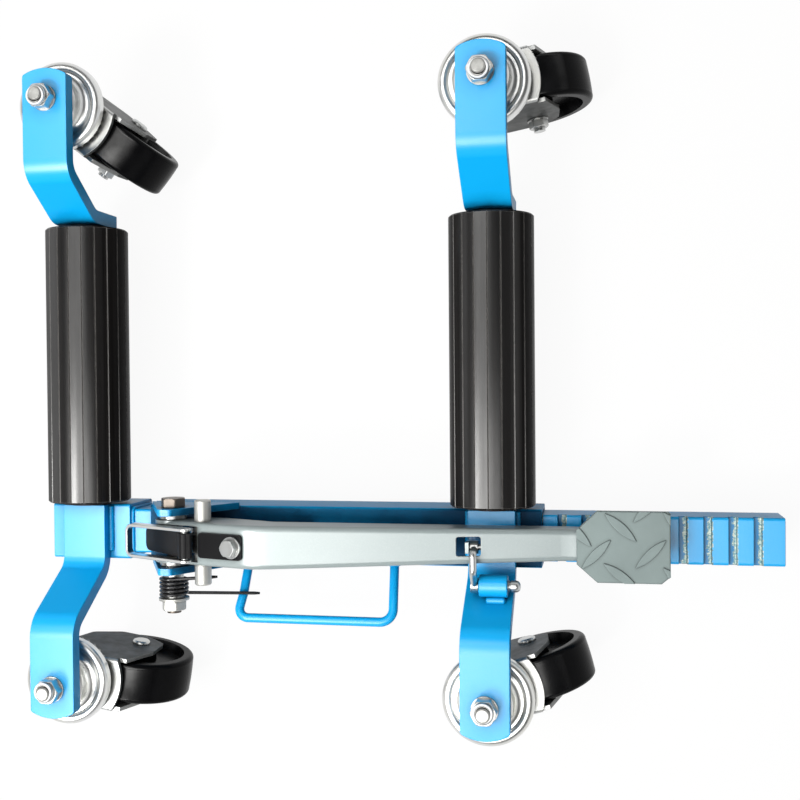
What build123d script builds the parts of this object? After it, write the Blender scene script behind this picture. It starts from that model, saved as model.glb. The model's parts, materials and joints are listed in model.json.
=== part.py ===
from build123d import *
import math
import os

# Vehicle positioning dolly: two rollers close under a tyre on a ratcheting beam and lift it on casters.
# Millimetres. X runs along the beam, Y across it, Z up from the floor.
# While it is drawn, Y is 0 on the beam and X is 0 close to the right-hand caster stems.

# Overall layout
left_stem_x = -372.0
right_stem_x = -1.5
upper_stem_y = 377.0
lower_stem_y = -125.5
arm_top = 147.0
bar_width = 40.0
bar_thick = 12.0
bend_radius = 14.0
arm_tip_margin = 25.5
tip_sagitta = 5.5
tip_corner = 3.5

# Beam: outer tube on the right-hand side, toothed rack on the left-hand side
tube_size = 50.0
tube_wall = 4.0
tube_left = -313.0
tube_right = 40.0
tube_top = 73.0
rack_size = 40.0
rack_wall = 8.0
rack_left = -400.0
rack_right = 238.0
notch_pitch = 20.0
notch_width = 6.5
notch_depth = 5.0
notch_first = 216.5
notch_count = 23
end_block_left = -408.0
end_block_right = -333.0
pawl_slot = (-247.0, -148.0)
pawl_slot_width = 20.0

# Rollers
roller_radius = 36.5
roller_grooves = 20
groove_size = 0.75
roller_bore = 28.0
axle_radius = 12.5
axle_height = 72.0
roller_gap = 3.0
washer_thick = 2.5
washer_radius = 19.0
upper_face_y = 278.0

# Casters
wheel_radius = 50.0
wheel_width = 36.0
hub_width = 38.0
caster_trail = 35.0
fork_gap = 40.0
fork_thick = 3.5
crown_bottom = 105.0
crown_thick = 4.0
crown_radius = 45.0
race_radius = 38.0
race_top = 123.0
kingpin_radius = 6.0
kingpin_top = 164.0
nut_across = 19.0
nut_height = 11.0
nut_collar = 3.4
caster_yaw = {"upper_left": -39.0, "upper_right": 10.5, "lower_left": -9.0, "lower_right": 16.5}

# Foot pedal and ratchet
pivot_x = -273.5
pivot_z = 115.0
pivot_radius = 6.0
cheek_inner = 22.0
cheek_thick = 6.0
cheek_top = 136.0
cheek_base = (-311.0, -228.0)
pin_x = -241.8
pin_z = 128.0
pin_radius = 7.0
pin_half_length = 36.0
lever_wall = 3.0
lever_half_left = 18.0
lever_half_right = 13.0
lever_peak = (-190.0, 157.0)
lever_front_slope = 16.0
lever_left = -242.0
lever_pad_x = 63.0
lever_pad_z = 107.0
lever_right = 126.0
ear_radius = 15.0
latch_hole = (-26.5, -6.5)
latch_hole_width = 16.0
pad_left = 70.0
pad_length = 74.0
pad_width = 58.0
pad_thick = 4.0
ridge_height = 1.2
drive_tip_x = -162.2
hold_pin_x = -258.0
hold_pin_z = 92.0
hold_tip_x = -222.6
pawl_lift = 0.3
pawl_half_width = 8.0

# Return spring
wire_radius = 1.45
coil_radius = 11.25
coil_pitch = 3.4
coil_inner_y = -32.9
coil_turns = 4
long_leg_tip_x = -208.0

# Fits
running_gap = 0.05
loose_gap = 0.25
clear_gap = 0.3

# Worked out from the layout
tube_mid_z = tube_top - tube_size / 2
rack_top = tube_mid_z + rack_size / 2
beam_side = tube_size / 2
arm_bottom = arm_top - bar_thick
beam_bar_top = tube_top + bar_thick
lever_slope = (lever_peak[1] - lever_pad_z) / (lever_pad_x - lever_peak[0])
lever_left_z = lever_peak[1] - (lever_peak[0] - lever_left) * math.tan(math.radians(lever_front_slope))
cheek_outer = cheek_inner + cheek_thick

nodes = {}


def side_slab(face, y0, y1):
    """An outline drawn in X and Z, made solid from y0 to y1."""
    return extrude(Plane((0, y1, 0), x_dir=(1, 0, 0), z_dir=(0, -1, 0)) * face, y1 - y0)


def cross_slab(face, x0, x1):
    """An outline drawn in Y and Z, made solid from x0 to x1."""
    return extrude(Plane((x0, 0, 0), x_dir=(0, 1, 0), z_dir=(1, 0, 0)) * face, x1 - x0)


def plan_slab(face, z0, z1):
    """An outline drawn in X and Y, made solid from z0 to z1."""
    return extrude(Plane((0, 0, z0), x_dir=(1, 0, 0), z_dir=(0, 0, 1)) * face, z1 - z0)


def block(x0, x1, y0, y1, z0, z1):
    return Pos((x0 + x1) / 2, (y0 + y1) / 2, (z0 + z1) / 2) * Box(x1 - x0, y1 - y0, z1 - z0)


def rod_x(y, z, radius, x0, x1):
    return Pos((x0 + x1) / 2, y, z) * Rot(0, 90, 0) * Cylinder(radius, x1 - x0)


def rod_y(x, z, radius, y0, y1):
    return Pos(x, (y0 + y1) / 2, z) * Rot(90, 0, 0) * Cylinder(radius, y1 - y0)


def rod_z(x, y, radius, z0, z1):
    return Pos(x, y, (z0 + z1) / 2) * Cylinder(radius, z1 - z0)


def hexagon(across, height):
    """A hexagon prism with chamfered corners, standing on the XY plane."""
    prism = extrude(RegularPolygon(across / 2, 6, major_radius=False), height)
    cone = Pos(0, 0, height / 2) * Cylinder(across * 0.56, height)
    return prism & chamfer(cone.edges(), across * 0.045)


def polygon(points):
    return make_face(Polyline(*points, close=True))


def disc(x, z, radius):
    return Pos(x, z) * Circle(radius)


def shifted_right(points, distance):
    """The polyline moved to its right-hand side by the distance, with mitred corners."""
    headings = [Vector(*b) - Vector(*a) for a, b in zip(points, points[1:])]
    normals = [Vector(h.Y, -h.X).normalized() for h in headings]
    moved = []
    for index, point in enumerate(points):
        before = normals[max(index - 1, 0)]
        after = normals[min(index, len(normals) - 1)]
        mitre = (before + after) / (1 + before.dot(after))
        place = Vector(*point) + mitre * distance
        moved.append((place.X, place.Y))
    return moved


def bent_bar(points, x_middle):
    """A flat bar whose upper face follows the points in Y and Z, bent with round corners."""
    lower = shifted_right(points, bar_thick)
    upper_radii = []
    lower_radii = []
    for a, b, c in zip(points, points[1:], points[2:]):
        turn = (b[0] - a[0]) * (c[1] - b[1]) - (b[1] - a[1]) * (c[0] - b[0])
        upper_radii.append(bend_radius + (bar_thick if turn < 0 else 0))
        lower_radii.append(bend_radius + (bar_thick if turn > 0 else 0))
    edges = list(FilletPolyline(*points, radius=upper_radii).edges())
    edges += list(FilletPolyline(*lower, radius=lower_radii).edges())
    edges += [Line(points[0], lower[0]).edge(), Line(points[-1], lower[-1]).edge()]
    return cross_slab(make_face(edges), x_middle - bar_width / 2, x_middle + bar_width / 2)


def rounded_tip(bar, stem_x, stem_y, far_end):
    """Gives the free end of an arm its shallow arc and drills it for the caster stem."""
    half = bar_width / 2
    tip = stem_y + far_end * arm_tip_margin
    shoulder = tip - far_end * tip_sagitta
    inner = stem_y - far_end * 400
    outline = [Line((stem_x - half, inner), (stem_x - half, shoulder)).edge(),
               ThreePointArc((stem_x - half, shoulder), (stem_x, tip), (stem_x + half, shoulder)).edge(),
               Line((stem_x + half, shoulder), (stem_x + half, inner)).edge(),
               Line((stem_x + half, inner), (stem_x - half, inner)).edge()]
    plan = make_face(outline)
    corners = [corner for corner in plan.vertices() if abs(corner.Y - shoulder) < 0.1]
    bar = bar & plan_slab(fillet(corners, tip_corner), 0, arm_top + 1)
    return bar - rod_z(stem_x, stem_y, kingpin_radius + loose_gap, arm_bottom - 1, arm_top + 1)


def square_tube(x0, x1, outer, inner):
    z = tube_mid_z
    shell = block(x0, x1, -outer / 2, outer / 2, z - outer / 2, z + outer / 2)
    shell = fillet(shell.edges().filter_by(Axis.X), 2.5)
    return shell - block(x0 - 1, x1 + 1, -inner / 2, inner / 2, z - inner / 2, z + inner / 2)


# Outer tube, with the slot in its top wall that the pawls reach through
outer_tube = square_tube(tube_left, tube_right, tube_size, tube_size - 2 * tube_wall)
nodes["outer_tube"] = outer_tube - block(*pawl_slot, -pawl_slot_width / 2, pawl_slot_width / 2,
                                         tube_top - tube_wall - 1, tube_top + 1)

# Rack bar with its row of ratchet notches across the top face
rack = square_tube(rack_left, rack_right, rack_size, rack_size - 2 * rack_wall)
for index in range(notch_count):
    notch_x = notch_first - index * notch_pitch
    rack -= block(notch_x - notch_width / 2, notch_x + notch_width / 2, -rack_size, rack_size,
                  rack_top - notch_depth, rack_top + 1)
nodes["rack_bar"] = rack
nodes["left_end_block"] = square_tube(end_block_left, end_block_right, tube_size, rack_size)

# The two sides: arms, axle, roller, its bushes and washers, caster stems
upper_bend_y = {"left": 313.5, "right": 319.0}
lower_arm_line = [(lower_stem_y - arm_tip_margin, arm_top), (-69.0, arm_top),
                  (-28.0, beam_bar_top), (beam_side, beam_bar_top)]


def flat_ring(x, outer, inner, y0, y1):
    return rod_y(x, axle_height, outer, y0, y1) - rod_y(x, axle_height, inner, y0 - 1, y1 + 1)


def kingpin(x, y):
    """Caster stem bolt: hexagon head under the fork crown, threaded end above the arm."""
    head_top = crown_bottom - clear_gap
    head = Pos(x, y, head_top - 8) * hexagon(nut_across, 8)
    shank = rod_z(x, y, kingpin_radius, head_top - 1, kingpin_top)
    shank = chamfer(shank.edges().group_by(Axis.Z)[-1], 1.2)
    return head + shank


def stop_nut(x, y):
    """Locking nut: hexagon with a washer face below and a round collar above."""
    washer = rod_z(0, 0, nut_across * 0.58, 0, 1.2)
    body = Pos(0, 0, 1.2) * hexagon(nut_across, nut_height - 1.2)
    collar = rod_z(0, 0, nut_across * 0.43, nut_height, nut_height + nut_collar)
    collar = fillet(collar.edges().group_by(Axis.Z)[-1], 1.6)
    nut = washer + body + collar - rod_z(0, 0, kingpin_radius + loose_gap, -1, nut_height + 9)
    return Pos(x, y, arm_top) * nut


def swivel_race(x, y):
    """Fixed upper race of a caster: a boss under the arm, a ring groove round it and a rolled rim."""
    low = crown_bottom + crown_thick + 4.5
    roof = 118.2
    bore = kingpin_radius + loose_gap
    inner = race_radius - 2.5
    outline = [
        Line((bore, roof), (bore, arm_bottom)),
        Line((bore, arm_bottom), (20.0, arm_bottom)),
        Line((20.0, arm_bottom), (21.5, arm_bottom - 1.5)),
        Line((21.5, arm_bottom - 1.5), (21.5, race_top + 3.0)),
        ThreePointArc((21.5, race_top + 3.0), (23.4, race_top - 0.6), (27.0, race_top - 2.2)),
        Line((27.0, race_top - 2.2), (29.0, race_top - 2.2)),
        ThreePointArc((29.0, race_top - 2.2), (33.8, race_top), (race_radius, race_top - 3.6)),
        Line((race_radius, race_top - 3.6), (race_radius, low)),
        Line((race_radius, low), (inner, low)),
        Line((inner, low), (inner, roof)),
        Line((inner, roof), (bore, roof)),
    ]
    return Pos(x, y, 0) * revolve(Plane.XZ * make_face([line.edge() for line in outline]), Axis.Z)


for side, x in (("left", left_stem_x), ("right", right_stem_x)):
    upper_arm_line = [(upper_face_y, 52.0), (upper_face_y, 97.0), (upper_bend_y[side], arm_top),
                      (upper_stem_y + arm_tip_margin, arm_top)]
    roller_low = beam_side + roller_gap
    roller_high = upper_face_y - roller_gap
    nodes[side + "_upper_arm"] = rounded_tip(bent_bar(upper_arm_line, x), x, upper_stem_y, 1)
    nodes[side + "_lower_arm"] = rounded_tip(bent_bar(lower_arm_line, x), x, lower_stem_y, -1)
    nodes[side + "_axle"] = rod_y(x, axle_height, axle_radius, beam_side, upper_face_y)

    cuts = [Rot(0, 0, 360 * index / roller_grooves) * Pos(roller_radius, 0) * Rot(0, 0, 45)
            * Rectangle(groove_size, groove_size) for index in range(roller_grooves)]
    section = Circle(roller_radius) - cuts - Circle(roller_bore)
    sleeve = Pos(x, roller_low, axle_height) * Rot(-90, 0, 0) * extrude(section, roller_high - roller_low)
    nodes[side + "_roller"] = sleeve & chamfer(
        rod_y(x, axle_height, roller_radius + 0.2, roller_low, roller_high).edges(), 1.5)
    bush_length = 22.0
    nodes[side + "_roller_bushes"] = Compound([
        flat_ring(x, roller_bore - 0.06, axle_radius + running_gap, y0, y0 + bush_length)
        for y0 in (roller_low, roller_high - bush_length)])
    nodes[side + "_roller_washers"] = Compound([
        flat_ring(x, washer_radius, axle_radius + 0.1, y0, y0 + washer_thick)
        for y0 in (beam_side, upper_face_y - washer_thick)])

    stems = (upper_stem_y, lower_stem_y)
    nodes[side + "_kingpins"] = Compound([kingpin(x, y) for y in stems])
    nodes[side + "_kingpin_nuts"] = Compound([stop_nut(x, y) for y in stems])
    nodes[side + "_caster_races"] = Compound([swivel_race(x, y) for y in stems])


# One caster, drawn with its stem on the Z axis and trailing along X
def caster_fork():
    crown_top = crown_bottom + crown_thick
    outer = fork_gap / 2 + fork_thick
    leg = polygon([(-25.0, crown_top), (crown_radius, crown_top), (crown_radius, crown_bottom - 2.0),
                   (caster_trail + 20.0, 66.0), (caster_trail + 18.0, 38.0), (caster_trail - 4.0, 26.0),
                   (6.0, 26.0), (-16.0, 44.0), (-25.0, 97.0)])
    leg = fillet([corner for corner in leg.vertices() if corner.Y < 70], 10.0)
    shape = side_slab(leg, -outer, outer)
    shape -= block(-60, 80, -fork_gap / 2, fork_gap / 2, 0, crown_bottom)
    top_edges = shape.edges().filter_by(Axis.X).group_by(Axis.Z)[-1]
    shape = fillet(top_edges, 3.0)
    shape -= (block(20, 80, -40, 40, crown_bottom - 2.0, crown_top + 1)
              - rod_z(0, 0, crown_radius, crown_bottom - 3.0, crown_top + 2))
    dish = fillet(rod_z(0, 0, 32.5, crown_top, 117.4).edges().group_by(Axis.Z)[-1], 3.0)
    skirt = rod_z(0, 0, 32.5, crown_bottom, crown_top)
    shape = shape + dish + skirt
    shape -= rod_z(0, 0, kingpin_radius + running_gap, crown_bottom - 1, 120)
    return shape - rod_y(caster_trail, wheel_radius, 5.0 + loose_gap, -30, 30)


def caster_axle():
    """Wheel bolt with a low round head on one fork leg and a nut on the other."""
    outer = fork_gap / 2 + fork_thick
    head = fillet(rod_y(0, 0, 8.0, outer, outer + 3.6).edges().group_by(Axis.Y)[-1], 2.4)
    bolt = rod_y(0, 0, 5.0, -outer - 11.0, outer + 0.5) + head
    bolt += rod_y(0, 0, 9.0, -outer - 1.4, -outer)
    bolt += Pos(0, -outer - 1.4, 0) * Rot(90, 0, 0) * hexagon(15.0, 6.6)
    return Pos(caster_trail, 0, wheel_radius) * bolt


def caster_wheel():
    """Moulded wheel: flat tread with round shoulders, deeply dished sides and a long hub."""
    half = wheel_width / 2
    hub = hub_width / 2
    bore = 7.05
    web = half - 8.5
    shoulder = 4.6
    side = [(bore, hub), (14.0, hub), (16.0, web), (38.5, web), (40.5, half), (wheel_radius - shoulder, half)]
    turn = [(wheel_radius - 1.5, half - 1.2), (wheel_radius - 0.4, half - shoulder)]
    edges = []
    for hand in (1, -1):
        line = [(radius, hand * width) for radius, width in side]
        bend = [(radius, hand * width) for radius, width in turn]
        edges += list(Polyline(*line).edges())
        edges.append(ThreePointArc(line[-1], bend[0], bend[1]).edge())
    edges.append(ThreePointArc(turn[1], (wheel_radius, 0), (turn[1][0], -turn[1][1])).edge())
    edges.append(Line((bore, -hub), (bore, hub)).edge())
    wheel = revolve(Plane.XY * make_face(edges), Axis.Y)
    return Pos(caster_trail, 0, wheel_radius) * wheel


def caster_bush():
    tube = rod_y(0, 0, 7.0, -hub_width / 2, hub_width / 2) - rod_y(0, 0, 5.0 + running_gap, -30, 30)
    return Pos(caster_trail, 0, wheel_radius) * tube


for place, yaw in caster_yaw.items():
    stem_x = left_stem_x if place.endswith("left") else right_stem_x
    stem_y = upper_stem_y if place.startswith("upper") else lower_stem_y
    turned = Pos(stem_x, stem_y, 0) * Rot(0, 0, yaw)
    nodes[place + "_fork"] = turned * caster_fork()
    nodes[place + "_wheel_axle"] = turned * caster_axle()
    nodes[place + "_wheel"] = turned * caster_wheel()
    nodes[place + "_wheel_bush"] = turned * caster_bush()

# Pivot cheeks standing on the tube, with the pedal's pivot bolt through them
cheek_face = polygon([(cheek_base[0], tube_top), (cheek_base[1], tube_top),
                      (pivot_x + 5.5, cheek_top), (pivot_x - 5.5, cheek_top)])
cheek_face = fillet(cheek_face.vertices().group_by(Axis.Y)[-1], 4.0)
cheek_face -= disc(pivot_x, pivot_z, pivot_radius + loose_gap)
cheek_face -= disc(hold_pin_x, hold_pin_z, 5.0)
nodes["pivot_cheeks"] = Compound([side_slab(cheek_face, cheek_inner, cheek_outer),
                                  side_slab(cheek_face, -cheek_outer, -cheek_inner)])

sleeve_end = -cheek_outer - 22.0
pivot_bolt = Pos(pivot_x, cheek_outer, pivot_z) * Rot(-90, 0, 0) * hexagon(nut_across, 8.0)
pivot_bolt += rod_y(pivot_x, pivot_z, pivot_radius, sleeve_end - 13.0, cheek_outer + 1)
nodes["pivot_bolt"] = pivot_bolt
pivot_nut = rod_y(pivot_x, pivot_z, 13.0, sleeve_end - 2.0, sleeve_end)
pivot_nut += Pos(pivot_x, sleeve_end - 2.0, pivot_z) * Rot(90, 0, 0) * hexagon(nut_across, 8.5)
nodes["pivot_nut"] = pivot_nut - rod_y(pivot_x, pivot_z, pivot_radius + loose_gap, -80, 0)
nodes["spring_sleeve"] = (rod_y(pivot_x, pivot_z, 8.5, sleeve_end, -cheek_outer)
                          - rod_y(pivot_x, pivot_z, pivot_radius + loose_gap, -80, 0))
washer_in = lever_half_left + clear_gap
washer_out = cheek_inner - clear_gap
nodes["pivot_washers"] = Compound([
    rod_y(pivot_x, pivot_z, 11.5, y0, y1) - rod_y(pivot_x, pivot_z, pivot_radius + loose_gap, -80, 80)
    for y0, y1 in ((washer_in, washer_out), (-washer_out, -washer_in))])
nodes["holding_pawl_pin"] = rod_y(hold_pin_x, hold_pin_z, 4.95, -cheek_outer, cheek_outer)

# Carry handle: one bent rod welded to the near side of the tube
handle_radius = 4.0
handle_line = [(-222.5, -22.0, 61.0), (-223.5, -52.0, 77.0), (-226.5, -72.0, 87.6),
               (-86.5, -72.0, 87.6), (-89.5, -22.0, 61.0)]
handle_path = FilletPolyline(*handle_line, radius=[25.0, 9.0, 11.0])
handle = sweep(Plane(handle_path @ 0, z_dir=handle_path % 0) * Circle(handle_radius), path=handle_path)
nodes["carry_handle"] = handle - block(tube_left, tube_right, -beam_side, 0, 0, tube_top + 20)

# Foot lever: a folded channel, open below, with round upper corners
ear_top = (pivot_x - ear_radius * 0.5, pivot_z + ear_radius * 0.866)
ear_low = (pivot_x + ear_radius * 0.174, pivot_z - ear_radius * 0.985)
lever_top = [(lever_left, lever_left_z), lever_peak, (lever_pad_x, lever_pad_z), (lever_right, lever_pad_z)]
lever_edges = list(FilletPolyline(*lever_top, radius=[60.0, 60.0]).edges())
lever_edges += list(Polyline((lever_right, lever_pad_z), (lever_right, 95.0), (lever_pad_x, 86.0),
                             (-182.0, 124.0), (-228.0, 106.0), ear_low, (pivot_x, pivot_z), ear_top,
                             (lever_left, lever_left_z)).edges())
lever_face = make_face(lever_edges) + disc(pivot_x, pivot_z, ear_radius)


def lever_plan(inset):
    """Half widths of the lever, wide at the pivot and narrow at the pad."""
    a = lever_half_left - inset
    b = lever_half_right - inset
    return polygon([(-310, -a), (lever_peak[0], -a), (lever_pad_x, -b), (lever_right + 9, -b),
                    (lever_right + 9, b), (lever_pad_x, b), (lever_peak[0], a), (-310, a)])


lever = side_slab(lever_face, -lever_half_left, lever_half_left) & plan_slab(lever_plan(0), 60, 180)
roof_faces = [face for face in lever.faces() if face.normal_at().Z > 0.9]
roof_edges = [edge for face in roof_faces for edge in face.edges()
              if abs((edge @ 0).Y - (edge @ 1).Y) < 6 and abs((edge @ 0.5).Y) > 10]
lever = fillet(roof_edges, 4.5)
cavity_top = shifted_right(lever_top, lever_wall)
cavity_edges = list(FilletPolyline(*cavity_top, radius=[57.0, 63.0]).edges())
cavity_edges += list(Polyline(cavity_top[-1], (lever_right + 9, lever_pad_z - lever_wall),
                              (lever_right + 9, 60.0), (-310.0, 60.0), (-310.0, 190.0),
                              (lever_left, 190.0), cavity_top[0]).edges())
cavity = side_slab(make_face(cavity_edges), -lever_half_left, lever_half_left)
lever -= cavity & plan_slab(lever_plan(lever_wall), 50, 200)
lever -= rod_y(pivot_x, pivot_z, pivot_radius + running_gap, -30, 30)
lever -= rod_y(pin_x, pin_z, pin_radius + running_gap, -30, 30)
hole_half = latch_hole_width / 2
hole_cut = block(*latch_hole, -hole_half, hole_half, 100, 140)
lever -= fillet(hole_cut.edges().filter_by(Axis.Z), 2.0)

# Leaf strip bolted on the lever's short front slope
front = Plane((lever_left, 0, lever_left_z), x_dir=(math.cos(math.radians(lever_front_slope)), 0,
                                                    math.sin(math.radians(lever_front_slope))),
              z_dir=(-math.sin(math.radians(lever_front_slope)), 0,
                     math.cos(math.radians(lever_front_slope))))
leaf_start = 3.0
leaf_length = 43.0
leaf_thick = 2.5
leaf_bolt_at = 37.0
leaf = Box(leaf_length, 21.0, leaf_thick)
leaf = fillet(leaf.edges().filter_by(Axis.Z), 3.0)
leaf = front * Pos(leaf_start + leaf_length / 2, 0, leaf_thick / 2) * leaf
bolt_hole = front * Pos(leaf_bolt_at, 0, 0) * Cylinder(4.0 + loose_gap, 30)
nodes["leaf_strip"] = leaf - bolt_hole
bolt_head = rod_z(0, 0, 9.0, leaf_thick, leaf_thick + 1.8)
bolt_head += Pos(0, 0, leaf_thick + 1.8) * hexagon(13.0, 5.5)
bolt_head += rod_z(0, 0, 4.0, -14.0, leaf_thick + 1)
nodes["leaf_bolt"] = front * Pos(leaf_bolt_at, 0, 0) * bolt_head
lever -= bolt_hole

# Hinge pin of the latch rod, held by two posts under the lever beside its square hole


def lever_at(x):
    """Height of the lever's sloping upper face."""
    return lever_pad_z + (lever_pad_x - x) * lever_slope


latch_pin_y = -1.5
latch_pin_radius = 2.5
post_width = 3.0
post_half = 4.5
latch_pin = (latch_hole[0] + 7.0, latch_hole[1] + 4.0)
latch_pin_z = lever_at(latch_pin[1]) - lever_wall - latch_pin_radius - 0.8
nodes["latch_hinge_pin"] = rod_x(latch_pin_y, latch_pin_z, latch_pin_radius, *latch_pin)
for post_x in (latch_pin[0], latch_pin[1] - post_width):
    post = block(post_x, post_x + post_width, latch_pin_y - post_half, latch_pin_y + post_half,
                 latch_pin_z - post_half, lever_at(post_x + post_width) - lever_wall / 2)
    lever += post - rod_x(latch_pin_y, latch_pin_z, latch_pin_radius + 0.02, *latch_pin)
nodes["pedal_lever"] = lever

# Tread plate of the pedal, with raised lens-shaped ridges
pad_half = pad_width / 2
pad_right = pad_left + pad_length
pad_face = polygon([(pad_left, 13.5), (pad_left + 16.5, pad_half), (pad_right - 1.5, pad_half),
                    (pad_right, pad_half - 1.5), (pad_right, -pad_half + 6.0), (pad_right - 7.0, -pad_half),
                    (pad_left + 16.5, -pad_half), (pad_left, -14.5)])
pad_top = lever_pad_z + pad_thick
pad = plan_slab(pad_face, lever_pad_z, pad_top)
pad = chamfer(pad.edges().group_by(Axis.Z)[-1], 0.7)
ridge_length = 33.0
ridge_half = 3.6
ridge_outline = [ThreePointArc((-ridge_length / 2, 0), (0, ridge_half), (ridge_length / 2, 0)).edge(),
                 ThreePointArc((ridge_length / 2, 0), (0, -ridge_half), (-ridge_length / 2, 0)).edge()]
ridge_face = make_face(ridge_outline)
ridge_places = [(105.0, 16.0, -42.0), (85.5, -6.0, 46.0), (128.5, -5.0, 44.0), (105.0, -23.0, -36.0),
                (70.0, 12.0, -45.0), (126.5, 32.0, 45.0), (150.0, 17.0, -45.0), (150.0, -27.0, -44.0)]
for ridge_x, ridge_y, turn in ridge_places:
    ridge = Pos(ridge_x, ridge_y) * Rot(0, 0, turn) * ridge_face
    ridge_solid = plan_slab(ridge, pad_top - 0.5, pad_top + ridge_height) & plan_slab(pad_face, 80, 140)
    pad += ridge_solid
nodes["pedal_pad"] = pad

# Cross pin that the lever drives, and the drive pawl that hangs on it
nodes["cross_pin"] = chamfer(rod_y(pin_x, pin_z, pin_radius, -pin_half_length, pin_half_length).edges(), 1.0)


def pawl(hub_x, hub_z, hub_radius, bore, tip_x, thick, half_width):
    """A strut from its hub down to a narrow nose that stands just over the rack."""
    nose = rack_top + pawl_lift
    slope = math.atan2(hub_z - nose, tip_x - hub_x)
    side_x = math.sin(slope) * thick / 2
    side_z = math.cos(slope) * thick / 2
    half_nose = notch_width / 4
    shape = polygon([(hub_x + side_x, hub_z + side_z), (tip_x + half_nose, nose + thick * 0.85),
                     (tip_x + half_nose, nose), (tip_x - half_nose, nose),
                     (tip_x - half_nose - 0.3, nose + 4.5), (hub_x - side_x, hub_z - side_z)])
    shape += disc(hub_x, hub_z, hub_radius)
    shape -= disc(hub_x, hub_z, bore)
    return side_slab(shape, -half_width, half_width)


nodes["drive_pawl"] = pawl(pin_x, pin_z, 10.0, pin_radius + running_gap, drive_tip_x, 13.0,
                           pawl_half_width)
nodes["holding_pawl"] = pawl(hold_pin_x, hold_pin_z, 9.0, 4.95 + running_gap, hold_tip_x, 10.0,
                             pawl_half_width)

# Release treadle: a sloping plate inside a U-shaped bail, both hung on the pivot bolt
treadle_angle = math.radians(37.8)
treadle_right = (-244.0, 154.0)
treadle_length = 73.0
bail_outer = 14.4
bail_thick = 2.6
bail_height = 11.0
bail_corner = 7.0
bail_end = (-314.0, 119.0)
bail_tip = (-250.0, 148.5)
treadle_plane = Plane((treadle_right[0], 0, treadle_right[1]),
                      x_dir=(-math.cos(treadle_angle), 0, -math.sin(treadle_angle)),
                      z_dir=(-math.sin(treadle_angle), 0, math.cos(treadle_angle)))
plate_thick = 3.0
plate_half = 10.4
plate = Box(treadle_length, 2 * plate_half, plate_thick)
plate = fillet(plate.edges().filter_by(Axis.Z).group_by(Axis.X)[-1], 6.0)
plate = treadle_plane * Pos(treadle_length / 2, 0, -plate_thick / 2) * plate
hinge_eye = rod_y(*bail_tip, 5.5, -plate_half, plate_half)
plate += hinge_eye
nodes["release_treadle"] = plate - rod_y(*bail_tip, 3.02, -30, 30)
nodes["release_rivet"] = rod_y(*bail_tip, 3.0, -bail_outer, bail_outer)

bail_run = Vector(bail_tip[0] - bail_end[0], bail_tip[1] - bail_end[1])
bail_normal = Vector(-bail_run.Y, bail_run.X).normalized() * (bail_height / 2)
bail_face = polygon([(bail_end[0], bail_end[1] + bail_height / 2),
                     (bail_tip[0] + bail_normal.X, bail_tip[1] + bail_normal.Y),
                     (bail_tip[0] - bail_normal.X, bail_tip[1] - bail_normal.Y),
                     (bail_end[0], bail_end[1] - bail_height / 2)])
bail_face += disc(*bail_tip, bail_height / 2)
ear_half = 11.0
bail_ear = disc(pivot_x, pivot_z, ear_half)
bail_ear += polygon([(pivot_x - ear_half, pivot_z), (pivot_x + ear_half, pivot_z),
                     (pivot_x + ear_half, pivot_z + 20.0), (pivot_x - ear_half, pivot_z + 18.0)])


def bail_plan(inset):
    """Plan of the bail, drawn in by the inset: a U whose left-hand corners are round."""
    half = bail_outer - inset
    left = bail_end[0] + inset
    shape = polygon([(left, -half), (-200.0, -half), (-200.0, half), (left, half)])
    return fillet(shape.vertices().group_by(Axis.X)[0], bail_corner - inset)


bail = side_slab(bail_face + bail_ear, -bail_outer, bail_outer) & plan_slab(bail_plan(0), 60, 200)
bail -= plan_slab(bail_plan(bail_thick), 50, 210)
bail -= rod_y(pivot_x, pivot_z, pivot_radius + running_gap, -30, 30)
nodes["release_bail"] = bail - rod_y(*bail_tip, 3.02, -30, 30)

# Hold-down latch: a hooked rod hinged in the lever, and the barrel with its plunger on the lower arm
barrel_y = -33.6
barrel_z = 111.5
barrel_x = (-9.0, 14.5)
barrel_radius = 9.2
plunger_radius = 4.8
rod_radius = 3.0
weld_face = polygon([(barrel_y - 4.0, barrel_z), (barrel_y + 6.0, barrel_z), (barrel_y + 3.0, 86.0),
                     (barrel_y - 10.0, 103.0)])
barrel_weld = cross_slab(weld_face, barrel_x[0] + 3.0, barrel_x[1] - 3.0)
barrel = rod_x(barrel_y, barrel_z, barrel_radius, *barrel_x)
barrel = chamfer(barrel.edges(), 0.8) + barrel_weld - nodes["right_lower_arm"]
nodes["latch_barrel"] = barrel - rod_x(barrel_y, barrel_z, plunger_radius + running_gap, -40, 60)

nose_x = barrel_x[0] + 0.5
plunger = rod_x(barrel_y, barrel_z, plunger_radius, nose_x + 8.6, barrel_x[1] + 10.5)
plunger = fillet(plunger.edges().group_by(Axis.X)[-1], 4.2)
plunger -= (rod_x(barrel_y, barrel_z, 8.0, barrel_x[1] + 1.0, barrel_x[1] + 2.6)
            - rod_x(barrel_y, barrel_z, plunger_radius - 0.9, barrel_x[1] + 0.5, barrel_x[1] + 3.0))
nodes["latch_plunger"] = plunger + rod_x(barrel_y, barrel_z, 2.8, nose_x, nose_x + 9.6)

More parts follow.
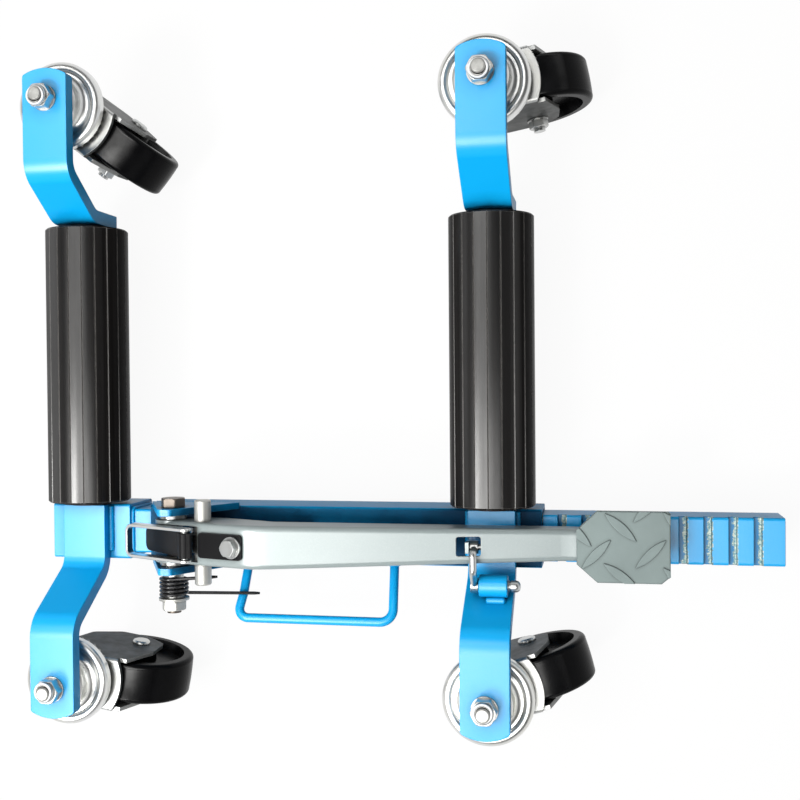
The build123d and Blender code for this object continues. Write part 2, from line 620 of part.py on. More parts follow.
eye_x = barrel_x[0] - 3.6
eye_half = 3.2
over_rim = lever_at(eye_x) + rod_radius + 0.9
latch_line = [(eye_x, latch_pin_y, latch_pin_z), (eye_x, latch_pin_y - 4.5, over_rim),
              (eye_x, -20.5, over_rim), (eye_x, barrel_y, barrel_z + 2.0)]
latch_path = FilletPolyline(*latch_line, radius=[3.2, 6.0])
latch_rod = sweep(Plane(latch_path @ 0, z_dir=latch_path % 0) * Circle(rod_radius), path=latch_path)
latch_rod += rod_x(latch_pin_y, latch_pin_z, 5.4, eye_x - eye_half, eye_x + eye_half)
latch_rod += rod_x(barrel_y, barrel_z, 6.2, eye_x - eye_half, eye_x + eye_half)
latch_rod -= rod_x(latch_pin_y, latch_pin_z, latch_pin_radius + running_gap, -60, 40)
nodes["latch_rod"] = latch_rod - rod_x(barrel_y, barrel_z, 3.4, -60, 40)


# Return spring: one wire, coiled on the pivot bolt, with a leg under the cross pin and a leg on the handle
def biarc(start, start_way, end, end_way):
    """Two arcs that leave start along one direction and reach end along the other."""
    chord = end - start
    ways = start_way + end_way
    a = 2 * (start_way.dot(end_way) - 1)
    b = -2 * chord.dot(ways)
    c = chord.dot(chord)
    reach = (-b - math.sqrt(b * b - 4 * a * c)) / (2 * a)
    middle = (start + start_way * reach + end - end_way * reach) / 2
    first = Edge.make_tangent_arc(start, start_way, middle)
    return [first, Edge.make_tangent_arc(middle, first.tangent_at(1), end)]


reach_pin = pin_radius + wire_radius + 0.3
pin_away = math.hypot(pin_x - pivot_x, pin_z - pivot_z)
pin_angle = math.atan2(pin_z - pivot_z, pin_x - pivot_x)
coil_start = pin_angle - math.asin((coil_radius + reach_pin) / pin_away) + math.pi / 2
rest_x = handle_line[1][0] + 0.6
rest_z = 76.0 + handle_radius + wire_radius + 3.0
rest_away = math.hypot(rest_x - pivot_x, rest_z - pivot_z)
rest_angle = math.atan2(rest_z - pivot_z, rest_x - pivot_x)
coil_end = rest_angle + math.asin(coil_radius / rest_away) - math.pi / 2 + 2 * math.pi * (coil_turns + 1)
rise = -coil_pitch / (2 * math.pi)


def coil_point(angle):
    return Vector(pivot_x + coil_radius * math.cos(angle), coil_inner_y + rise * (angle - coil_start),
                  pivot_z + coil_radius * math.sin(angle))


def coil_way(angle):
    return Vector(-coil_radius * math.sin(angle), rise, coil_radius * math.cos(angle)).normalized()


quarters = round((coil_end - coil_start) / (math.pi / 2))
angles = [coil_start + (coil_end - coil_start) * step / quarters for step in range(quarters + 1)]
short_leg = pin_x + 8.5 - coil_point(coil_start).X
short_end = coil_point(coil_start) - coil_way(coil_start) * (short_leg / abs(coil_way(coil_start).X))
long_leg = long_leg_tip_x - coil_point(coil_end).X
long_end = coil_point(coil_end) + coil_way(coil_end) * (long_leg / abs(coil_way(coil_end).X))
spring_edges = [Edge.make_line(short_end, coil_point(coil_start))]
for a, b in zip(angles, angles[1:]):
    spring_edges += biarc(coil_point(a), coil_way(a), coil_point(b), coil_way(b))
spring_edges.append(Edge.make_line(coil_point(coil_end), long_end))
spring_path = Wire(spring_edges)
wire_section = Plane(short_end, z_dir=coil_way(coil_start)) * Circle(wire_radius)
nodes["return_spring"] = sweep(wire_section, path=spring_path)

samples = [spring_path @ (step / 900) for step in range(901)]
spacing = spring_path.length / 900
skip = int(4 * wire_radius / spacing) + 1
least_gap = min((samples[i] - samples[j]).length for i in range(901) for j in range(i + skip, 901))
print("spring least gap to itself", round(least_gap - 2 * wire_radius, 2))
print("spring volume over section times length",
      round(nodes["return_spring"].volume / (math.pi * wire_radius ** 2 * spring_path.length), 4))

# The origin is put on the floor at the middle of the whole outline
box = Compound([shape for node in nodes.values() for shape in node.solids()]).bounding_box()
home = Vector(-(box.min.X + box.max.X) / 2, -(box.min.Y + box.max.Y) / 2, -box.min.Z)
print("moved to its origin by", [round(value, 3) for value in home])
print("overall size", [round(value, 2) for value in box.size])
for name, shape in nodes.items():
    export_step(Pos(*home) * Compound(shape.solids()), f"parts/{name}.step")
print(len(nodes), "nodes")
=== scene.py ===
import bpy
import bmesh
import json
import math
import random
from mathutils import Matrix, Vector


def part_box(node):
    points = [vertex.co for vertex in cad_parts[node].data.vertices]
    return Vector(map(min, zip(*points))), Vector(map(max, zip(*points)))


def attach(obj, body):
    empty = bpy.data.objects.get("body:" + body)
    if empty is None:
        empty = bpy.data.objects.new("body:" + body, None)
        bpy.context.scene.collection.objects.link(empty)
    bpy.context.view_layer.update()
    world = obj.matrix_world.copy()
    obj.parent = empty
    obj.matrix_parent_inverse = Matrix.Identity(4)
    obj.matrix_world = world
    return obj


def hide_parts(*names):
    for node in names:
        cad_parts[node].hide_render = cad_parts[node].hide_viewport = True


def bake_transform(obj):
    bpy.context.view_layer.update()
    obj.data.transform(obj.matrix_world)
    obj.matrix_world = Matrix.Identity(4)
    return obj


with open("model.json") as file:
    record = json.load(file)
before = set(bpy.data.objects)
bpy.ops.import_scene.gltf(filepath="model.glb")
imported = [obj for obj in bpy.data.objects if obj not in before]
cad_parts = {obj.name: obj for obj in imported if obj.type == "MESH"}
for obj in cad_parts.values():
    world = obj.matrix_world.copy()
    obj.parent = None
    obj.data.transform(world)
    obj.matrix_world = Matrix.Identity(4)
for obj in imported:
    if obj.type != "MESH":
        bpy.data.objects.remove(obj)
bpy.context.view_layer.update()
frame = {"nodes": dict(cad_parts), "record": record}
nodes = frame["nodes"]
scene = bpy.context.scene
print("frame loaded:", len(nodes), "nodes")


def middle(node):
    low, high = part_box(node)
    return (low + high) / 2


# places that most pieces are measured from, all read off the frame
stemX = middle("right_kingpins").x
leftStemX = middle("left_kingpins").x
beamY = middle("outer_tube").y
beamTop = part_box("outer_tube")[1].z
pivot = Vector((middle("pivot_nut").x, beamY, middle("pivot_nut").z))

# the stem bolts' hexagon heads reach furthest out, so the stems stand half a head inside the box
headFlats = 0.019
headCorner = headFlats / 2 / math.cos(math.pi / 6)
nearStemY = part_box("right_kingpins")[0].y + headCorner
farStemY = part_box("right_kingpins")[1].y - headCorner


# camera, fitted to the photo: place is from the right-hand stems, the beam's axis and the floor
photoCamera = {"place": (0.0948, 0.1339, 0.9962), "turn": (-1.02, 10.71, -0.48),
               "lens": 48.77, "sensor": 36.0}


def makeCamera():
    data = bpy.data.cameras.new("photoCamera")
    data.lens = photoCamera["lens"]
    data.sensor_width = photoCamera["sensor"]
    data.sensor_fit = "HORIZONTAL"
    camera = bpy.data.objects.new("photoCamera", data)
    x, y, z = photoCamera["place"]
    camera.location = (stemX + x, beamY + y, z)
    camera.rotation_euler = [math.radians(angle) for angle in photoCamera["turn"]]
    scene.collection.objects.link(camera)
    scene.camera = camera


makeCamera()
print("camera ready")


# small helpers for shader trees
def addNode(tree, kind, **values):
    node = tree.nodes.new(kind)
    for name, value in values.items():
        setattr(node, name, value)
    return node


def setIn(node, values):
    for label, value in values.items():
        node.inputs[label].default_value = value
    return node


def feed(tree, socket, value):
    # a socket is linked, a plain number or colour is set
    if hasattr(value, "is_linked"):
        tree.links.new(value, socket)
    else:
        socket.default_value = value


def mathNode(tree, operation, a, b=None, c=None, clamp=False):
    node = addNode(tree, "ShaderNodeMath", operation=operation, use_clamp=clamp)
    for socket, value in zip(node.inputs, (a, b, c)):
        if value is not None:
            feed(tree, socket, value)
    return node.outputs[0]


def rampValue(tree, value, low, high, fromLow=0.0, fromHigh=1.0):
    node = addNode(tree, "ShaderNodeMapRange", clamp=True)
    feed(tree, node.inputs["Value"], value)
    feed(tree, node.inputs["From Min"], fromLow)
    feed(tree, node.inputs["From Max"], fromHigh)
    feed(tree, node.inputs["To Min"], low)
    feed(tree, node.inputs["To Max"], high)
    return node.outputs[0]


def addSkin(faces, base, rows, sides, closed):
    # quads between neighbouring rings of corners; a closed skin joins its last ring to the first
    for row in range(rows if closed else rows - 1):
        after = (row + 1) % rows
        for corner in range(sides):
            aside = (corner + 1) % sides
            faces.append((base + row * sides + corner, base + row * sides + aside,
                          base + after * sides + aside, base + after * sides + corner))


# light: soft boxes over the left-hand side, strongest along the picture's lower edge, a small lamp between
# them, a key from the same side and a dim room; places are from the same three as the camera's
studio = {"lamps": {"nearBox": {"place": (-0.52, -0.275, 1.3), "size": (1.16, 0.65), "power": 13.0},
                    "midBox": {"place": (-0.55, 0.30, 1.3), "size": (1.1, 0.50), "power": 3.0},
                    "farBox": {"place": (-0.55, 0.70, 1.3), "size": (1.1, 0.30), "power": 4.0},
                    "rightBox": {"place": (0.30, -0.20, 1.3), "size": (0.48, 0.50), "power": 2.2},
                    "smallLamp": {"place": (-0.62, -0.06, 0.95), "size": (0.16, 0.16), "power": 1.8}},
          "keyWay": (0.36, 0.46, -0.81), "keyPower": 1.1, "keySpread": 12.0,
          "lampTint": (1.0, 0.99, 0.97), "room": (0.90, 0.95, 1.0), "roomLevel": 0.08}


def makeLight():
    origin = Vector((stemX, beamY, 0))
    for name, look in studio["lamps"].items():
        data = bpy.data.lights.new(name, "AREA")
        data.energy = look["power"]
        data.color = studio["lampTint"]
        data.shape = "RECTANGLE"
        data.size, data.size_y = look["size"]
        lamp = bpy.data.objects.new(name, data)
        lamp.location = origin + Vector(look["place"])
        scene.collection.objects.link(lamp)
    data = bpy.data.lights.new("keyLight", "SUN")
    data.energy = studio["keyPower"]
    data.color = studio["lampTint"]
    data.angle = math.radians(studio["keySpread"])
    key = bpy.data.objects.new("keyLight", data)
    key.rotation_euler = Vector(studio["keyWay"]).to_track_quat("-Z", "Y").to_euler()
    scene.collection.objects.link(key)

    world = bpy.data.worlds.new("room")
    world.use_nodes = True
    scene.world = world
    room = world.node_tree.nodes["Background"]
    setIn(room, {"Color": (*studio["room"], 1), "Strength": studio["roomLevel"]})


# floor: white to the eye and in reflections, dim in the light that it throws back
floorLook = {"tone": 0.18, "seen": 0.88, "glow": 0.94, "reach": 6.0, "wallHeight": 3.2, "wallBend": 1.2,
             "middle": 0.02, "sides": 96, "bendStep": 10}


def makeFloorWhite():
    material = bpy.data.materials.new("floorWhite")
    material.use_nodes = True
    tree = material.node_tree
    tree.nodes.clear()
    # 1 for rays that show the surroundings: straight from the camera, in a mirror or through glass
    path = addNode(tree, "ShaderNodeLightPath")
    direct = mathNode(tree, "MAXIMUM", path.outputs["Is Camera Ray"], path.outputs["Is Glossy Ray"])
    seen = mathNode(tree, "MAXIMUM", direct, path.outputs["Is Transmission Ray"])
    matt = addNode(tree, "ShaderNodeBsdfDiffuse")
    tree.links.new(rampValue(tree, seen, floorLook["tone"], floorLook["seen"]), matt.inputs["Color"])
    glow = setIn(addNode(tree, "ShaderNodeEmission"), {"Color": (1, 1, 1, 1)})
    mix = addNode(tree, "ShaderNodeMixShader")
    out = addNode(tree, "ShaderNodeOutputMaterial")
    tree.links.new(mathNode(tree, "MULTIPLY", seen, floorLook["glow"]), mix.inputs[0])
    tree.links.new(matt.outputs[0], mix.inputs[1])
    tree.links.new(glow.outputs[0], mix.inputs[2])
    tree.links.new(mix.outputs[0], out.inputs["Surface"])
    return material


def makeFloor():
    # level in the middle, swept up into a wall all round
    reach, bend, sides = floorLook["reach"], floorLook["wallBend"], floorLook["sides"]
    step = floorLook["bendStep"]
    rings = [(floorLook["middle"], 0.0), (reach - bend, 0.0)]
    for degrees in range(step, 90 + 1, step):  # a quarter turn
        angle = math.radians(degrees)
        rings.append((reach - bend + bend * math.sin(angle), bend - bend * math.cos(angle)))
    rings.append((reach, floorLook["wallHeight"]))
    angles = [2 * math.pi * corner / sides for corner in range(sides)]
    vertices = [(radius * math.cos(angle), radius * math.sin(angle), z)
                for radius, z in rings for angle in angles]
    faces = []
    addSkin(faces, 0, len(rings), sides, False)
    faces.append(tuple(range(sides)))
    mesh = bpy.data.meshes.new("floor")
    mesh.from_pydata(vertices, [], faces)
    mesh.materials.append(makeFloorWhite())
    floor = bpy.data.objects.new("floor", mesh)
    scene.collection.objects.link(floor)


makeLight()
makeFloor()
print("light and floor ready")


# shared effects, each a node group that the materials below place with their own values
effects = {"raySamples": 6, "edgeGain": 9.0, "dustFrom": (0.42, 0.78), "dustUp": (0.7, 0.3),
           "shadeUneven": (0.9, 0.5)}


def newGroup(name, inputs, outputs):
    tree = bpy.data.node_groups.new(name, "ShaderNodeTree")
    for label, value in inputs.items():
        socket = tree.interface.new_socket(label, in_out="INPUT", socket_type="NodeSocketFloat")
        socket.default_value = value
    for label in outputs:
        kind = "NodeSocketVector" if label == "Normal" else "NodeSocketFloat"
        tree.interface.new_socket(label, in_out="OUTPUT", socket_type=kind)
    return tree, tree.nodes.new("NodeGroupInput"), tree.nodes.new("NodeGroupOutput")


def objectPlace(tree):
    return addNode(tree, "ShaderNodeTexCoord").outputs["Object"]


def noiseNode(tree, scale, detail, rough, place=None):
    noise = setIn(addNode(tree, "ShaderNodeTexNoise"), {"Detail": detail, "Roughness": rough})
    feed(tree, noise.inputs["Scale"], scale)
    tree.links.new(place or objectPlace(tree), noise.inputs["Vector"])
    return noise.outputs["Fac"]


def upwardShare(tree):
    # 1 where the surface is level and looks up
    facing = addNode(tree, "ShaderNodeSeparateXYZ")
    tree.links.new(addNode(tree, "ShaderNodeNewGeometry").outputs["Normal"], facing.inputs[0])
    return facing.outputs["Z"]


# worn and highlighted edges: how far the surface turns within a small width, broken up by noise; on the
# paints and rollers the paler edges it gives are partly rubbed paint and partly painted highlight;
# the turned normal rounds the edge
def makeEdgeWearAndHighlight():
    inputs = {"Width": 0.0012, "Scale": 160.0, "Amount": 0.6}
    tree, into, out = newGroup("edgeWearAndHighlight", inputs, ["Mask", "Normal"])
    bevel = addNode(tree, "ShaderNodeBevel", samples=effects["raySamples"])
    tree.links.new(into.outputs["Width"], bevel.inputs["Radius"])
    geometry = addNode(tree, "ShaderNodeNewGeometry")
    dot = addNode(tree, "ShaderNodeVectorMath", operation="DOT_PRODUCT")
    tree.links.new(bevel.outputs["Normal"], dot.inputs[0])
    tree.links.new(geometry.outputs["Normal"], dot.inputs[1])
    turn = mathNode(tree, "SUBTRACT", 1.0, dot.outputs["Value"])
    noise = noiseNode(tree, into.outputs["Scale"], detail=4.0, rough=0.6)
    broken = mathNode(tree, "MULTIPLY", mathNode(tree, "MULTIPLY", turn, effects["edgeGain"]), noise)
    tree.links.new(mathNode(tree, "MULTIPLY", broken, into.outputs["Amount"], clamp=True), out.inputs["Mask"])
    tree.links.new(bevel.outputs["Normal"], out.inputs["Normal"])
    return tree


# coat grain: the soft ripple of sprayed paint and a slow change of tone
def makeCoatGrain():
    tree, into, out = newGroup("coatGrain", {"Scale": 900.0, "Cloud": 14.0}, ["Height", "Tone"])
    place = objectPlace(tree)
    height = noiseNode(tree, into.outputs["Scale"], detail=2.0, rough=0.45, place=place)
    tone = noiseNode(tree, into.outputs["Cloud"], detail=5.0, rough=0.55, place=place)
    tree.links.new(height, out.inputs["Height"])
    tree.links.new(tone, out.inputs["Tone"])
    return tree


# rubbed streaks along one direction: the noise is squeezed most across it
def makeStreaks():
    inputs = {"Along X": 4.0, "Along Y": 4.0, "Along Z": 300.0, "Low": 0.45, "High": 0.7}
    tree, into, out = newGroup("streaks", inputs, ["Mask"])
    squeeze = addNode(tree, "ShaderNodeCombineXYZ")
    for axis in "XYZ":
        tree.links.new(into.outputs["Along " + axis], squeeze.inputs[axis])
    stretch = addNode(tree, "ShaderNodeVectorMath", operation="MULTIPLY")
    tree.links.new(objectPlace(tree), stretch.inputs[0])
    tree.links.new(squeeze.outputs[0], stretch.inputs[1])
    noise = noiseNode(tree, 1.0, detail=5.0, rough=0.65, place=stretch.outputs[0])
    mask = rampValue(tree, noise, 0.0, 1.0, into.outputs["Low"], into.outputs["High"])
    tree.links.new(mask, out.inputs["Mask"])
    return tree


# dust that lies on upward faces in patches
def makeDust():
    tree, into, out = newGroup("dustFilm", {"Scale": 35.0, "Amount": 0.3}, ["Mask"])
    noise = noiseNode(tree, into.outputs["Scale"], detail=8.0, rough=0.7)
    patch = rampValue(tree, noise, 0.0, 1.0, *effects["dustFrom"])
    upward = mathNode(tree, "MULTIPLY_ADD", upwardShare(tree), *effects["dustUp"], clamp=True)
    spread = mathNode(tree, "MULTIPLY", patch, upward)
    tree.links.new(mathNode(tree, "MULTIPLY", spread, into.outputs["Amount"], clamp=True), out.inputs["Mask"])
    return tree


# faces that look up, where hands and tyres keep a coat polished
def makeUpward():
    tree, into, out = newGroup("upward", {"Low": 0.2, "High": 0.75}, ["Mask"])
    mask = rampValue(tree, upwardShare(tree), 0.0, 1.0, into.outputs["Low"], into.outputs["High"])
    tree.links.new(mask, out.inputs["Mask"])
    return tree


# painted shade: colour darkened in corners and under overhangs, by how closed-in the surface is, broken up by
# noise
def makePaintedCornerShade():
    tree, into, out = newGroup("paintedCornerShade", {"Reach": 0.006, "Scale": 120.0, "Amount": 1.0}, ["Mask"])
    closed = addNode(tree, "ShaderNodeAmbientOcclusion", samples=effects["raySamples"])
    tree.links.new(into.outputs["Reach"], closed.inputs["Distance"])
    shut = mathNode(tree, "SUBTRACT", 1.0, closed.outputs["AO"])
    noise = noiseNode(tree, into.outputs["Scale"], detail=5.0, rough=0.6)
    uneven = mathNode(tree, "MULTIPLY_ADD", noise, *effects["shadeUneven"])
    paintedShade = mathNode(tree, "MULTIPLY", shut, uneven)
    tree.links.new(mathNode(tree, "MULTIPLY", paintedShade, into.outputs["Amount"], clamp=True), out.inputs["Mask"])
    return tree


groups = {"edgeWearAndHighlight": makeEdgeWearAndHighlight(), "coatGrain": makeCoatGrain(), "streaks": makeStreaks(),
          "dustFilm": makeDust(), "upward": makeUpward(), "paintedCornerShade": makePaintedCornerShade()}
print("effects ready:", len(groups))


# helpers for the materials
def useGroup(tree, name, values):
    return setIn(addNode(tree, "ShaderNodeGroup", node_tree=groups[name]), values)


def groupMask(tree, name, values):
    return useGroup(tree, name, values).outputs["Mask"]


def upwardMask(tree, low, high):
    return groupMask(tree, "upward", {"Low": low, "High": high})


def blendColour(tree, mask, first, second):
    # the colour sockets of this node are its inputs 6 and 7 and its output 2
    node = addNode(tree, "ShaderNodeMix", data_type="RGBA")
    feed(tree, node.inputs["Factor"], mask)
    for socket, value in ((node.inputs[6], first), (node.inputs[7], second)):
        feed(tree, socket, value if hasattr(value, "is_linked") else (*value, 1))
    return node.outputs[2]


def addBump(tree, shader, height, bump, normal=None):
    strength, distance = bump
    node = setIn(addNode(tree, "ShaderNodeBump"), {"Strength": strength, "Distance": distance})
    tree.links.new(height, node.inputs["Height"])
    if normal is not None:
        tree.links.new(normal, node.inputs["Normal"])
    tree.links.new(node.outputs["Normal"], shader.inputs["Normal"])


def newMaterial(name, constants):
    material = bpy.data.materials.new(name)
    material.use_nodes = True
    shader = setIn(material.node_tree.nodes["Principled BSDF"], constants)
    return material, material.node_tree, shader


# blue paint, and what differs from part to part: gloss, painted shade in the corners, which faces are
# polished and, on the tube, a painted shadow of the lever over the top face
bluePaint = {"tone": (0.003, 0.45, 0.92), "deep": (0.002, 0.39, 0.86), "chip": (0.16, 0.64, 0.95),
             "paintedShade": (0.002, 0.035, 0.085), "rough": (0.30, 0.42), "bump": (0.20, 0.0004),
             "coat": {"Coat IOR": 1.62, "Coat Roughness": 0.30}, "gloss": 0.16, "shine": (0.62, 0.97),
             "cornerShade": {"Reach": 0.016, "Scale": 60.0, "Amount": 0.9},
             "grain": {"Scale": 1100.0, "Cloud": 11.0},
             "wearAndHighlight": {"Width": 0.0010, "Scale": 220.0, "Amount": 0.35}}
blueCoats = {"bluePowderCoat": {},
             # the tube carries a painted shadow of the lever on its top; the cheeks carry a heavier painted
             # corner shade
             "tubePowderCoat": {"gloss": 0.05, "shine": (0.95, 1.25), "level": (0.3, 0.8),
                                "leverShadow": {"Reach": 0.08, "Scale": 60.0, "Amount": 4.6}},
             "cheekPowderCoat": {"cornerShade": {"Reach": 0.05, "Scale": 60.0, "Amount": 2.4}},
             "rackBlueCoat": {"cornerShade": {"Reach": 0.02, "Scale": 60.0, "Amount": 1.0},
                              "wearAndHighlight": {"Width": 0.0012, "Scale": 260.0, "Amount": 0.6}}}


def paintBase(tree, shader, look):
    # sprayed coat: slow change of tone, corners darkened as painted shade, pale edges that are partly rubbed
    # paint and partly painted highlight, rippled gloss
    grain = useGroup(tree, "coatGrain", look["grain"])
    wearAndHighlight = useGroup(tree, "edgeWearAndHighlight", look["wearAndHighlight"])
    tone = blendColour(tree, grain.outputs["Tone"], look["tone"], look["deep"])
    # corners darkened as painted shade
    paintedShade = groupMask(tree, "paintedCornerShade", look["cornerShade"])
    # on the tube, a painted shadow of the lever laid over the upward faces
    if "leverShadow" in look:
        leverShadow = groupMask(tree, "paintedCornerShade", look["leverShadow"])
        onTop = mathNode(tree, "MULTIPLY", leverShadow, upwardMask(tree, *look["level"]))
        paintedShade = mathNode(tree, "MAXIMUM", paintedShade, onTop)
    dull = blendColour(tree, paintedShade, tone, look["paintedShade"])
    # edges paler: partly rubbed paint, partly painted highlight
    colour = blendColour(tree, wearAndHighlight.outputs["Mask"], dull, look["chip"])
    tree.links.new(colour, shader.inputs["Base Color"])
    tree.links.new(rampValue(tree, grain.outputs["Tone"], *look["rough"]), shader.inputs["Roughness"])
    addBump(tree, shader, grain.outputs["Height"], look["bump"], wearAndHighlight.outputs["Normal"])
    # the coat is kept off where the shade is painted
    outOfShade = mathNode(tree, "SUBTRACT", 1.0, paintedShade)
    polish = mathNode(tree, "MULTIPLY", upwardMask(tree, *look["shine"]), outOfShade)
    tree.links.new(polish, shader.inputs["Coat Weight"])
    return colour


def blueBase(name):
    look = dict(bluePaint, **blueCoats[name])
    material, tree, shader = newMaterial(name, dict(look["coat"], **{"Specular IOR Level": look["gloss"]}))
    return material, tree, shader, paintBase(tree, shader, look)


def makeBlue(name):
    return blueBase(name)[0]


# rack: the same coat, worn through to bare metal in and beside each notch, each notch painted a darker blue
# as shade;
# the first and last notch are measured from the right-hand stems
rackLook = {"bright": (0.56, 0.60, 0.50), "dull": (0.06, 0.20, 0.24), "shade": (0.003, 0.20, 0.46),
            "metal": 0.35, "pitch": 0.020, "width": 0.0065, "depth": 0.005,
            "firstNotch": 0.218, "lastNotch": -0.222,
            "sideRoom": 0.0002, "floorRoom": 0.0004, "wornRoom": 0.0011, "line": (0.0004, 0.0042),
            "ragged": 0.0046, "raggedNoise": (230.0, 4.0, 0.65), "speckNoise": (520.0, 4.0, 0.7),
            "speckFrom": (0.42, 0.66), "wholePitches": 100.0}


def makeRackBlue():
    look = rackLook
    material, tree, shader, colour = blueBase("rackBlueCoat")
    place = addNode(tree, "ShaderNodeSeparateXYZ")
    tree.links.new(objectPlace(tree), place.inputs[0])
    x, z = place.outputs["X"], place.outputs["Z"]
    pitch = look["pitch"]
    first, last = stemX + look["firstNotch"], stemX + look["lastNotch"]

    # how far a point is from the middle of its notch, along the rack; whole pitches keep the count positive
    count = mathNode(tree, "MULTIPLY_ADD", x, 1 / pitch, 0.5 - first / pitch + look["wholePitches"])
    share = mathNode(tree, "SUBTRACT", mathNode(tree, "FRACT", count), 0.5)
    away = mathNode(tree, "MULTIPLY", share, pitch)
    apart = mathNode(tree, "ABSOLUTE", away)

    # the toothed stretch of the top, down to the floors of the notches
    above = mathNode(tree, "GREATER_THAN", z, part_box("rack_bar")[1].z - look["depth"] - look["floorRoom"])
    before = mathNode(tree, "LESS_THAN", x, first + pitch / 2)
    after = mathNode(tree, "GREATER_THAN", x, last - pitch / 2)
    top = mathNode(tree, "MULTIPLY", above, mathNode(tree, "MULTIPLY", before, after))
    inside = mathNode(tree, "LESS_THAN", apart, look["width"] / 2 + look["sideRoom"])
    notch = mathNode(tree, "MULTIPLY", inside, top)

    # a ragged bare line down one half of each notch
    ragged = look["ragged"]
    wander = mathNode(tree, "MULTIPLY_ADD", noiseNode(tree, *look["raggedNoise"]), ragged * 2, -ragged)
    run = mathNode(tree, "ADD", away, wander)
    low, high = look["line"]
    past = mathNode(tree, "GREATER_THAN", run, low)
    line = mathNode(tree, "MULTIPLY", past, mathNode(tree, "LESS_THAN", run, high))
    near = mathNode(tree, "LESS_THAN", apart, look["width"] / 2 + look["wornRoom"])
    worn = mathNode(tree, "MULTIPLY", mathNode(tree, "MULTIPLY", line, near), top)
    specks = rampValue(tree, noiseNode(tree, *look["speckNoise"]), 0.0, 1.0, *look["speckFrom"])
    metal = blendColour(tree, specks, look["dull"], look["bright"])
    # each notch painted a darker blue: painted shade inside the recess
    painted = blendColour(tree, notch, colour, look["shade"])
    tree.links.new(blendColour(tree, worn, painted, metal), shader.inputs["Base Color"])
    tree.links.new(mathNode(tree, "MULTIPLY", worn, look["metal"]), shader.inputs["Metallic"])
    return material


# foot lever: grey-green paint with a fine bright fleck
leverPaint = {"tone": (0.36, 0.415, 0.415), "deep": (0.28, 0.335, 0.34), "chip": (0.55, 0.62, 0.62),
              "paintedShade": (0.05, 0.065, 0.07), "rough": (0.26, 0.36), "bump": (0.20, 0.0004),
              "shine": (0.75, 0.99),
              "coat": {"Metallic": 0.15, "Specular IOR Level": 0.3, "Coat IOR": 1.64, "Coat Roughness": 0.24},
              "cornerShade": {"Reach": 0.01, "Scale": 60.0, "Amount": 0.8},
              "grain": {"Scale": 1500.0, "Cloud": 9.0},
              "wearAndHighlight": {"Width": 0.0008, "Scale": 200.0, "Amount": 0.4},
              "fleckNoise": (2600.0, 1.0, 0.5), "fleckFrom": (0.55, 0.75), "fleck": 0.35}


def makeLeverGrey():
    look = leverPaint
    material, tree, shader = newMaterial("leverGreyCoat", look["coat"])
    colour = paintBase(tree, shader, look)
    fleck = rampValue(tree, noiseNode(tree, *look["fleckNoise"]), 0.0, look["fleck"], *look["fleckFrom"])
    tree.links.new(blendColour(tree, fleck, colour, look["chip"]), shader.inputs["Base Color"])
    return material


# plated steel: warm and cool patches, corners darkened as painted shade; the races' plating is kept brighter
zincPlate = {"tone": (0.62, 0.625, 0.61), "warm": (0.54, 0.50, 0.41), "cool": (0.44, 0.47, 0.50),
             "paintedShade": (0.025, 0.025, 0.022), "warmShare": 0.55, "coolShare": 0.7,
             "rough": (0.22, 0.38), "bump": (0.06, 0.0003), "grain": {"Scale": 700.0, "Cloud": 45.0},
             "tint": {"Along X": 26.0, "Along Y": 26.0, "Along Z": 30.0, "Low": 0.38, "High": 0.70},
             "cornerShade": {"Reach": 0.004, "Scale": 180.0, "Amount": 0.9},
             "wearAndHighlight": {"Width": 0.0006, "Scale": 200.0, "Amount": 0.0}}
raceZinc = dict(zincPlate, tone=(0.82, 0.82, 0.80), warm=(0.70, 0.67, 0.56), cool=(0.62, 0.64, 0.66))


def zincColour(tree, look):
    grain = useGroup(tree, "coatGrain", look["grain"])
    tint = groupMask(tree, "streaks", look["tint"])
    warm = blendColour(tree, rampValue(tree, tint, 0.0, look["warmShare"]), look["tone"], look["warm"])
    patches = rampValue(tree, grain.outputs["Tone"], 0.0, look["coolShare"])
    cool = blendColour(tree, patches, warm, look["cool"])
    # corners darkened as painted shade
    return blendColour(tree, groupMask(tree, "paintedCornerShade", look["cornerShade"]), cool, look["paintedShade"]), grain


def zincSurface(tree, shader, grain, look):
    # the edge group is here for its rounded normal alone
    rounded = useGroup(tree, "edgeWearAndHighlight", look["wearAndHighlight"]).outputs["Normal"]
    tree.links.new(rampValue(tree, grain.outputs["Tone"], *look["rough"]), shader.inputs["Roughness"])
    addBump(tree, shader, grain.outputs["Height"], look["bump"], rounded)


def makeZinc(name, look):
    material, tree, shader = newMaterial(name, {"Metallic": 1.0})
    colour, grain = zincColour(tree, look)
    tree.links.new(colour, shader.inputs["Base Color"])
    zincSurface(tree, shader, grain, look)
    return material


# forks: plated like the rest, with upright faces painted dark as shade in a slow mottle, and made less
# metallic
forkLook = {"dull": (0.075, 0.076, 0.074), "worn": (0.215, 0.219, 0.212), "rough": (0.26, 0.45),
            "bump": (0.06, 0.0003), "gloss": 0.04, "uprightFrom": (0.50, 0.90), "shadeShare": 0.96,
            "cloudNoise": (70.0, 6.0, 0.6), "cloudFrom": (0.35, 0.70),
            "wearAndHighlight": {"Width": 0.0008, "Scale": 200.0, "Amount": 0.0}}


